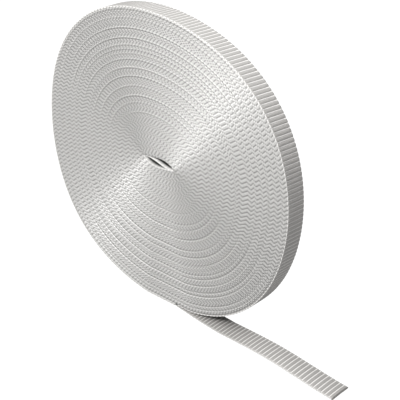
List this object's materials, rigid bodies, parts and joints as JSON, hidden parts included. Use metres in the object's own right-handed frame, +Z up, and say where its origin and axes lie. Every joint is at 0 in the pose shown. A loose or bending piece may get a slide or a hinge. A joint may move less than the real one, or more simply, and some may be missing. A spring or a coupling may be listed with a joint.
{
  "type": "roll of roller shutter strap",
  "caption": "Flat ribbed woven strap wound on itself into a narrow round roll that stands on its rim, its free end lying on the floor.",
  "frame": {"origin": "middle of the flat spot under the roll, on the floor", "axes": "+Z up, Y along the roll's axis with the face that shows the eye towards -Y, the loose end runs along the floor towards +X"},
  "size_m": [0.3363, 0.0357, 0.2631],
  "materials": {
    "strap_weave": "matt woven polyester, grey cross ribs with white lines between them"
  },
  "bodies": {
    "root": {"wound_roll": "strap_weave", "loose_end": "strap_weave"}
  },
  "joints": []
}
